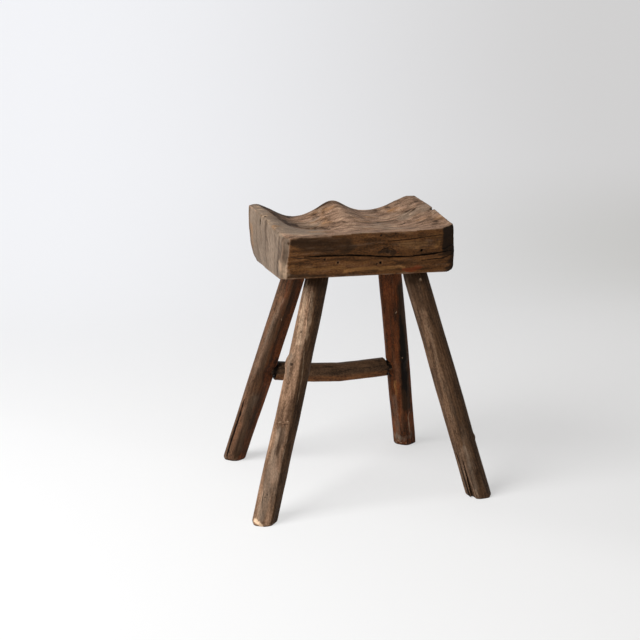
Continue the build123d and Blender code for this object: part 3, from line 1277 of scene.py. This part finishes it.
@dataclass(kw_only=True)
class Leg(Hewn):
    """One hewn pole.

    Its pale side lies between two bearings, as a facet's. It is partly painted light: the side that the lamp
    lights is made paler.
    """

    cell: float = 1.1 * MM
    ring_wander: float = 2.6 * MM
    swell: float = 0.8 * MM
    fibre_height: float = 0.15 * MM
    late_height: float = 0.06 * MM
    facets: tuple[Facet, ...]
    sway: float = 4.0
    pale: Span
    paleness: float
    greyness: float
    sole_round: float = 0.9 * MM

    def __post_init__(self) -> None:
        """Find the pole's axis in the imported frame, and its sides as the camera sees them."""
        foot = self.node.replace("_leg", "_foot")
        self.foot = np.array(next(m["pos_m"] for m in frame["record"]["mounts"] if m["name"] == foot))
        self.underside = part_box("seat")[0].z
        corners = np.array([v.co for v in frame["nodes"][self.node].data.vertices])
        high = corners[corners[:, 2] > corners[:, 2].max() - 6 * MM].mean(0)
        reach = (corners - self.foot) @ self.unit(high - self.foot)
        end = corners[reach > reach.max() - 0.05 * MM]
        self.axis = self.unit((end.min(0) + end.max(0)) / 2 - self.foot)
        towards = np.array(SIGHT.position) - self.foot
        self.front = self.unit(towards - self.axis * (towards @ self.axis))
        self.right = np.cross(self.front, self.axis)
        self.right *= np.sign(self.right @ np.array(SIGHT.axes()[0]))

    @staticmethod
    def unit(way: Array) -> Array:
        """A direction at length 1."""
        return way / np.linalg.norm(way)

    def grain_way(self) -> Array:
        """The direction of the grain, which is the pole's."""
        return self.axis

    def local(self, points: Array) -> tuple[Array, Array, Array, Array]:
        """Measure points against the axis.

        Args:
            points: the points, one row each.

        Returns:
            The distance along the axis, the parts towards the photograph's right and towards its
            camera, and the bearing in degrees.
        """
        off = points - self.foot
        right, front = off @ self.right, off @ self.front
        return off @ self.axis, right, front, np.degrees(np.arctan2(right, front))

    @staticmethod
    def girth(along: Array, radius: Array) -> Array:
        """Find the pole's outer radius beside each point, from the points around it.

        Args:
            along: each point's place along the axis.
            radius: its distance from it.

        Returns:
            The outer radius there.
        """
        band = 8 * MM
        rows = np.maximum((along / band).astype(int), 0)
        sound = np.unique(rows)
        outer = [np.percentile(radius[rows == row], 75) for row in sound]
        return np.interp(along, (sound + 0.5) * band, outer)

    def shape(self, wood: Wood) -> None:
        """Cut the flats, which wander a little, and round the sole's edge.

        Args:
            wood: the pole's mesh.
        """
        points = wood.points()
        along, right, front, bearing = self.local(points)
        radius = np.hypot(right, front)
        girth = self.girth(along, radius)
        visible = ease(points[:, 2], self.underside + 6 * MM, self.underside - 25 * MM)
        lengthwise = np.stack((along, 0 * along, 0 * along), 1)
        cut = np.zeros(len(points))
        for number, facet in enumerate(self.facets):
            sway = self.sway * wood.noise.at(lengthwise + number, 120)
            turn = np.cos(np.radians(bearing - facet.bearing - sway))
            depth = facet.depth * (1 + 0.35 * wood.noise.at(lengthwise + 9 + number, 85))
            over = np.where(turn > 0.5, radius - girth * (1 - depth) / np.maximum(turn, 0.5), 0)
            cut = np.maximum(cut, over)
        bend = self.swell * wood.noise.layered(np.stack((along, right, front), 1), (60, 26, 26), 2)
        outer = ease(radius, 0.8 * girth, 0.95 * girth)
        sole = self.sole_round * ease(points[:, 2], 2.5 * MM, 0.0) * outer
        inward = (cut + bend * outer) * visible + sole
        level = self.foot + self.axis * (points[:, 2] / self.axis[2])[:, None]
        wood.place(points - (points - level) * (inward / np.maximum(radius, 1e-6))[:, None])
        wood.soften(2)

    def weather(self, wood: Wood) -> None:
        """Lay out the grain along the pole and wear the surface along it.

        Args:
            wood: the pole's mesh.
        """
        points, noise = wood.points(), wood.noise
        along, right, front, bearing = self.local(points)
        local = np.stack((along, right, front), 1)
        rings = np.hypot(right - 9 * MM, front + 7 * MM)
        rings += self.ring_wander * noise.layered(local, (95, 16, 16))
        wood.masks |= {"grain": local, "rings": rings}
        edge = bearing + 5 * noise.layered(local, (40, 30, 30), 2)
        mottle = noise.layered(local, (60, 12, 12), 2)
        # Painted light in part: the side between the pale bearings, which faces the lamp, takes the paler
        # first palette.
        first, last = self.pale
        side = ease(edge, last + 6, last - 4) * ease(edge, first - 8, first + 8)
        pale = side * (1 + 0.5 * mottle) + 0.3 * ease(mottle, 0.2, 0.7)
        wood.masks["worn"] = np.clip(self.paleness * pale, 0, 1)
        haze = noise.layered(local + 1, (80, 14, 14))
        wood.lay(Tone.GREY, self.greyness * ease(haze, 0.1, 0.6))
        streak = noise.layered(local + 2, (110, 6, 6))
        # Painted shade on the pole just under the seat.
        painted_shade_under_seat = ease(points[:, 2], self.underside - 28 * MM, self.underside - 6 * MM)
        # Painted contact shadow at the foot, where the pole meets the floor.
        painted_contact_shadow = ease(points[:, 2], 4 * MM, 1 * MM)
        wood.lay(Tone.DARK, 0.4 * ease(streak, 0.15, 0.6), 0.9 * painted_shade_under_seat + 0.7 * painted_contact_shadow)
        heights = self.fibre_height * noise.layered(local, (30, 2.2, 2.2), 2)
        heights += self.late_height * self.late_wood(rings)
        wood.raise_by(heights * ease(points[:, 2], 0.0, 1.5 * MM))


@dataclass(kw_only=True)
class Stretcher(Hewn):
    """The bowed stick between the rear legs."""

    node: str = "stretcher"
    finish: WoodFinish = STRETCHER_WOOD
    seed: int = 57
    cell: float = 1.2 * MM
    ring_wander: float = 3 * MM
    swell: float = 0.5 * MM
    fibre_height: float = 0.14 * MM
    shoulder: float = 34 * MM
    # Painted shadow: a bump darkened in full at the foot of the left end, and black strokes in the gaps
    # between the stick's ends and the legs.
    pits: tuple[Pit, ...] = (Pit((274.2, 374), 7, -1.8),)
    strokes: tuple[Stroke, ...] = (
        *brush(
            # Painted shadow in the gaps at the two shoulders.
            Tone.SOIL, (13, 1, ((276, 359), (275, 366), (273, 376))), (6, 1, ((277, 361.5), (287, 361))),
            (7.5, 1, ((386.5, 359.5), (388.8, 366), (388.5, 374))),
        ),
    )

    def height_at(self, tree: BVHTree, x: float) -> float:
        """Find the height of the stick's middle at a place along it.

        Args:
            tree: its surface.
            x: the place.

        Returns:
            The height.
        """
        low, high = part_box(self.node)
        y = (low.y + high.y) / 2
        over = tree.ray_cast(Vector((x, y, high.z + 0.05)), DOWN)[0]
        under = tree.ray_cast(Vector((x, y, low.z - 0.05)), -DOWN)[0]
        return (over.z + under.z) / 2

    def weather(self, wood: Wood) -> None:
        """Lay out the grain along the stick and wear the surface along it.

        Args:
            wood: the stick's mesh.
        """
        points, noise = wood.points(), wood.noise
        low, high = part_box(self.node)
        x = points[:, 0]
        grid = np.linspace(x.min(), x.max(), 40)
        sound = np.clip(grid, low.x + self.shoulder, high.x - self.shoulder)
        heights = [self.height_at(wood.tree, float(place)) for place in sound]
        rise = points[:, 2] - np.interp(x, grid, heights)
        local = np.stack((x, points[:, 1] - (low.y + high.y) / 2, rise), 1)
        rings = np.hypot(local[:, 1], rise + 30 * MM) + self.ring_wander * noise.layered(local, (90, 14, 14))
        wood.masks |= {"grain": local, "rings": rings}
        # Painted shade: the upper side takes the darker first palette, for the shadow of the seat above it;
        # the lower front takes the lighter second one.
        wood.masks["worn"] = ease(rise + 3 * MM * noise.layered(local, (40, 9, 9)), -9 * MM, -2 * MM)
        heights = self.swell * noise.layered(local, (30, 14, 14), 2)
        heights += self.fibre_height * noise.layered(local, (30, 2.2, 2.2), 2)
        body = ease(x, low.x + 0.6 * self.shoulder, low.x + self.shoulder)
        body *= ease(x, high.x - 0.6 * self.shoulder, high.x - self.shoulder)
        wood.raise_by(heights * body)


@dataclass
class Studio:
    """The pale floor and backdrop, the lamp and the world.

    Spans are places along X, Y or Z, or along X and Y together, over which the paper's colour or the
    share of its evenness changes.
    """

    lamp_bearing: float = 197
    lamp_elevation: float = 38
    lamp_distance: float = 2.4
    lamp_size: float = 1.5
    lamp_watts: float = 74
    lamp_target: Triple = (0, 0, 0.3)
    sky: float = 0.2
    seen_sky: float = 0.84
    wall: float = 2.6
    wall_height: float = 4.0
    bend: float = 1.2
    bend_steps: int = 12
    reach: float = 7.0
    sink: float = 0.2 * MM
    paper_white: Triple = shade(236, 236, 236)
    paper_roughness: float = 0.9
    paper_gloss: float = 0.1
    wall_left: Triple = shade(250, 251, 255)
    wall_right_low: Triple = shade(200, 199, 196)
    wall_right_high: Triple = shade(217, 216, 216)
    floor_left: Triple = shade(255, 255, 255)
    floor_right: Triple = shade(246, 245, 244)
    wall_span: Span = (-0.5, 2.2)
    height_span: Span = (0.0, 0.45)
    floor_span: Span = (-0.7, 0.8)
    back_span: Span = (-0.2, 2.4)
    slant_span: Span = (-0.25, 0.05)
    evenness: Triple = (0.66, 0.53, 0.85)

    def build(self) -> None:
        """Set up the studio."""
        bpy.context.scene.view_settings.view_transform = "Standard"
        SIGHT.make_camera()
        self.make_cove()
        self.make_lamp()
        self.make_world()
        log.info("studio: cove, lamp, world and camera")

    def make_cove(self) -> None:
        """Lay a floor that bends up into a back wall."""
        start = self.wall - self.bend
        turns = [math.radians(90 * step / self.bend_steps) for step in range(1, self.bend_steps + 1)]
        curve = [(start + self.bend * math.sin(turn), self.bend * (1 - math.cos(turn))) for turn in turns]
        profile = [(-self.reach, 0.0), (start, 0.0), *curve, (self.wall, self.wall_height)]
        corners = [(side * self.reach, y, z - self.sink) for y, z in profile for side in (-1, 1)]
        faces = [(2 * k, 2 * k + 1, 2 * k + 3, 2 * k + 2) for k in range(len(profile) - 1)]
        mesh = bpy.data.meshes.new("cove")
        mesh.from_pydata(corners, [], faces)
        mesh.polygons.foreach_set("use_smooth", [True] * len(faces))
        mesh.materials.append(self.paper())
        cove = bpy.data.objects.new("cove", mesh)
        bpy.context.scene.collection.objects.link(cove)

    def paper(self) -> bpy.types.Material:
        """Make matt pale paper, which the camera sees evened out as a lit studio wall is.

        Returns:
            The material.
        """
        material = bpy.data.materials.new("paper")
        material.use_nodes = True
        tree = Tree(material.node_tree)
        shader, output = (material.node_tree.nodes[name] for name in ("Principled BSDF", "Material Output"))
        tree.feed(shader.inputs["Base Color"], self.paper_white)
        tree.feed(shader.inputs["Roughness"], self.paper_roughness)
        tree.feed(shader.inputs["Specular IOR Level"], self.paper_gloss)
        place = tree.node("SeparateXYZ", {0: tree.node("TexCoord", {}).outputs["Object"]}).outputs
        # Painted light on the paper as the camera sees it: the wall is brighter on the left, nearer the lamp,
        # and darker to the right and low down; the floor is brighter on the left.
        high = tree.mix(tree.ramp(place["Z"], *self.height_span), self.wall_right_low, self.wall_right_high)
        wall = tree.mix(tree.ramp(place["X"], *self.wall_span), self.wall_left, high)
        floor = tree.mix(tree.ramp(place["X"], *self.floor_span), self.floor_left, self.floor_right)
        back = tree.ramp(place["Y"], *self.back_span)
        even = tree.node("Emission", {"Color": tree.mix(back, floor, wall)})
        near, far, wall_share = self.evenness
        slant = tree.ramp(tree.plus(place["X"], place["Y"]), *self.slant_span)
        share = tree.minus(near, tree.times(slant, near - far))
        share = tree.plus(share, tree.times(back, wall_share - far))
        share = tree.times(tree.seen(), share)
        blend = tree.node("MixShader", {0: share, 1: shader.outputs[0], 2: even.outputs[0]})
        tree.feed(output.inputs["Surface"], blend.outputs[0])
        return material

    def make_lamp(self) -> None:
        """Hang one wide soft lamp on the left."""
        data = bpy.data.lights.new("window", "AREA")
        data.shape = "SQUARE"
        data.size = self.lamp_size
        data.energy = self.lamp_watts
        lamp = bpy.data.objects.new("window", data)
        bearing, rise = math.radians(self.lamp_bearing), math.radians(self.lamp_elevation)
        level = math.cos(rise)
        away = Vector((math.cos(bearing) * level, math.sin(bearing) * level, math.sin(rise)))
        lamp.location = Vector(self.lamp_target) + away * self.lamp_distance
        lamp.rotation_euler = (-away).to_track_quat("-Z", "Y").to_euler()
        bpy.context.scene.collection.objects.link(lamp)

    def make_world(self) -> None:
        """Make an even pale surround."""
        world = bpy.data.worlds.new("surround")
        bpy.context.scene.world = world
        world.use_nodes = True
        tree = Tree(world.node_tree)
        strength = tree.node("Mix", {0: tree.seen(), 2: self.sky, 3: self.seen_sky}, data_type="FLOAT")
        background = world.node_tree.nodes["Background"]
        tree.feed(background.inputs["Color"], (1, 1, 1))
        tree.feed(background.inputs["Strength"], strength.outputs[0])


FRONT_LEFT_LEG = Leg(
    node="front_left_leg", finish=FRONT_LEG_WOOD, seed=11, pale=(-150, 29), paleness=0.95, greyness=0.35,
    facets=(Facet(62, 0.13), Facet(-16, 0.07), Facet(-75, 0.05), Facet(135, 0.06), Facet(-150, 0.07)),
    grooves=(
        Groove(((311.5, 292), (309.5, 303), (308, 314), (306.5, 326)), 0.8, 1.3, 0.7),
        Groove(((306.5, 286), (306, 296), (304.5, 306)), 0.7, 1, 0.6),
        Groove(((302.5, 300), (301.5, 312), (299.5, 324)), 0.6, 0.7, 0.4),
        Groove(((272, 423.6), (279, 421.8), (288, 421)), 1.7, 0, 0.35, Tone.PALE),
        Groove(((281, 424.6), (287.5, 424)), 1.5, 0.8, 0.5),
        # Painted highlight along the lit facet's arris, laid as uncut pale grooves down the leg.
        Groove(((304, 346), (302.5, 368), (300, 386), (296.5, 404)), 1.6, 0, 0.22, Tone.PALE),
        Groove(((287.5, 436), (282, 458), (277, 482), (272.5, 500)), 1.4, 0, 0.2, Tone.PALE),
        Groove(((263.5, 489), (262, 499), (261.5, 508)), 0.9, 0.8, 0.6),
    ),
    pits=(
        Pit((300.4, 331.5), 1.3, 2), Pit((287.5, 362), 17, -3.4, 0), Pit((291.5, 364), 3.4, 1.4, 0.5),
        Pit((266.8, 494.5), 1.2, 1, 0.8), Pit((264.6, 497), 1, 1, 0.8),
    ),
    strokes=(
        *brush(
            Tone.PALE, (6.5, 1, ((254.5, 521), (258, 522), (260, 526))),
            (9, 0.34, ((306, 286), (304, 300), (301, 316), (298, 342))),
            (6, 0.24, ((311.5, 292), (309.5, 314), (306, 336))),
        ),
        *brush(
            # The first stroke is painted shade just under the seat.
            Tone.DARK, (14, 0.7, ((303, 281), (325, 282))), (6, 0.35, ((283, 428), (280, 440), (276, 452))),
            (7, 0.3, ((291, 398), (287, 418))), (5, 0.3, ((270, 470), (266, 490), (263, 512))),
            (10, 0.24, ((288, 404), (283, 430), (276, 462))),
            # Painted shade down the right side, away from the lamp.
            (8, 0.35, ((322, 292), (319, 330), (311, 372), (302, 410))),
        ),
        *brush(
            Tone.GREY, (8, 0.3, ((290, 354), (289, 362), (287, 374))),
            (13, 0.55, ((280, 432), (272, 462), (264, 500), (260, 515))),
        ),
        *brush(Tone.RUST, (9, 0.14, ((290, 400), (284, 430), (276, 466)))),
    ),
)
FRONT_RIGHT_LEG = Leg(
    node="front_right_leg", finish=FRONT_LEG_WOOD, seed=12, pale=(-150, -24), paleness=0.25, greyness=0.2,
    facets=(Facet(19, 0.1), Facet(-62, 0.09), Facet(78, 0.05), Facet(130, 0.06), Facet(-140, 0.05)),
    grooves=(Groove(((455.5, 452), (462, 472), (466, 485), (469.6, 497)), 2.6, 4),),
    pits=(Pit((419.7, 279.6), 2.2, 0.8, 0), Pit((473.5, 436), 8, -1.6, 0)),
    strokes=(
        *brush(
            Tone.PALE, (4, 0.45, ((419.7, 279.6),)),
            # Painted highlight along the facet's arris.
            (5, 0.12, ((421, 308), (428, 328), (434, 350), (439, 371), (444, 392))),
            (4, 0.25, ((475, 490), (477, 494))),
        ),
        *brush(Tone.GOLD, (4, 0.5, ((419.7, 279.6),))),
        # Painted shade just under the seat.
        *brush(Tone.DARK, (12, 0.5, ((411, 283), (416, 296), (420, 306)))),
        *brush(Tone.GREY, (12, 0.22, ((463, 450), (468, 468), (474, 486)))),
    ),
)
REAR_LEFT_LEG = Leg(
    node="rear_left_leg", finish=REAR_LEG_WOOD, seed=13, pale=(-130, 18), paleness=0.7, greyness=0.35,
    facets=(Facet(52, 0.1), Facet(-25, 0.05), Facet(-75, 0.05), Facet(140, 0.06)),
    grooves=(Groove(((243.8, 399), (235.9, 423.7), (229.9, 441.7), (226.3, 455.5)), 3.2, 4),),
    pits=(Pit((280.7, 318.7), 1.4, 0.6, 0),),
    strokes=(
        *brush(
            Tone.DARK, (15, 0.66, ((295, 284), (277, 330), (261, 372), (247, 420), (238, 452))),
            (9, 0.55, ((264, 388), (255, 415), (245, 452))),
        ),
        *brush(
            Tone.GREY, (13, 0.35, ((254, 398), (245, 425), (238, 450))),
            (12, 0.3, ((282, 302), (268, 338), (256, 372))),
        ),
        *brush(
            # Painted shadow: contact shadow along the foot's bottom, and the gap at the stick's left
            # shoulder.
            Tone.SOIL, (2.5, 0.8, ((227, 459.5), (234, 460.8), (243, 459))),
            (5, 0.7, ((276, 358), (271, 373))),
        ),
        *brush(Tone.RUST, (4, 0.4, ((288, 282), (285, 295), (281, 308)))),
        *brush(Tone.PALE, (2.4, 0.6, ((280.7, 318.7),))),
    ),
)
REAR_RIGHT_LEG = Leg(
    node="rear_right_leg", finish=REAR_LEG_WOOD, seed=14, pale=(-150, -100), paleness=0.85, greyness=0.1,
    facets=(Facet(50, 0.1), Facet(-25, 0.06), Facet(100, 0.05), Facet(-100, 0.05)),
    grooves=(
        # Shallow grooves, darkened as painted shade of a deep hollow down the right side.
        Groove(((399.5, 314), (401.5, 335), (402.5, 352)), 3, 0.4),
        Groove(((401.5, 332), (403.5, 362), (405, 388)), 6, 0.4),
        Groove(((404.5, 378), (406.5, 396)), 2.4, 0.4, 0.9),
    ),
    pits=(Pit((396.2, 313.4), 1.6, 0.6, 0), Pit((401.8, 356.5), 1.6, 0.6, 0)),
    strokes=(
        *brush(
            # Painted shade in the hollow down the right side.
            Tone.DARK, (15, 0.9, ((400.5, 285), (403.5, 340), (406.5, 405))),
            (7, 0.45, ((404, 400), (403, 418), (405, 434))),
        ),
        *brush(
            Tone.PALE, (2.6, 0.7, ((396.2, 313.4),)), (2.2, 0.6, ((401.8, 356.5),)),
            (3.5, 0.4, ((408.5, 411), (408, 420), (409.5, 430))),
            (3, 0.25, ((394, 440.5), (400, 442.5), (406, 442))),
        ),
        *brush(Tone.GOLD, (4, 0.5, ((394.5, 380), (396, 395))), (5, 0.3, ((386, 292), (388, 316)))),
        *brush(
            Tone.GREY, (8, 0.35, ((394, 396), (396, 418), (398, 440))),
            (10, 0.4, ((393, 434), (402, 437), (410, 435))),
        ),
        *brush(
            # Painted shadow: contact shadow along the foot's bottom, the gap at the stick's right end and the
            # hollow down the right side; the last stroke wipes it off a pit.
            Tone.SOIL, (3.5, 1, ((394.5, 443.5), (402, 445), (412, 442.3))),
            (5, 1, ((386.5, 360), (391, 367), (389, 374))),
            (9, 0.7, ((401.5, 328), (403, 355), (404.5, 388))), (2.6, -1, ((401.8, 356.5),)),
        ),
        *brush(Tone.RUST, (6, 0.45, ((386, 290), (387, 310), (390, 345)))),
    ),
)


def main() -> None:
    """Build the stool piece by piece, then the studio."""
    logging.basicConfig(level=logging.INFO, format="%(name)s: %(message)s")
    effects = Effects()
    for piece in (Seat(), FRONT_LEFT_LEG, FRONT_RIGHT_LEG, REAR_LEFT_LEG, REAR_RIGHT_LEG, Stretcher()):
        piece.build(effects)
    Studio().build()


if __name__ == "__main__":
    main()
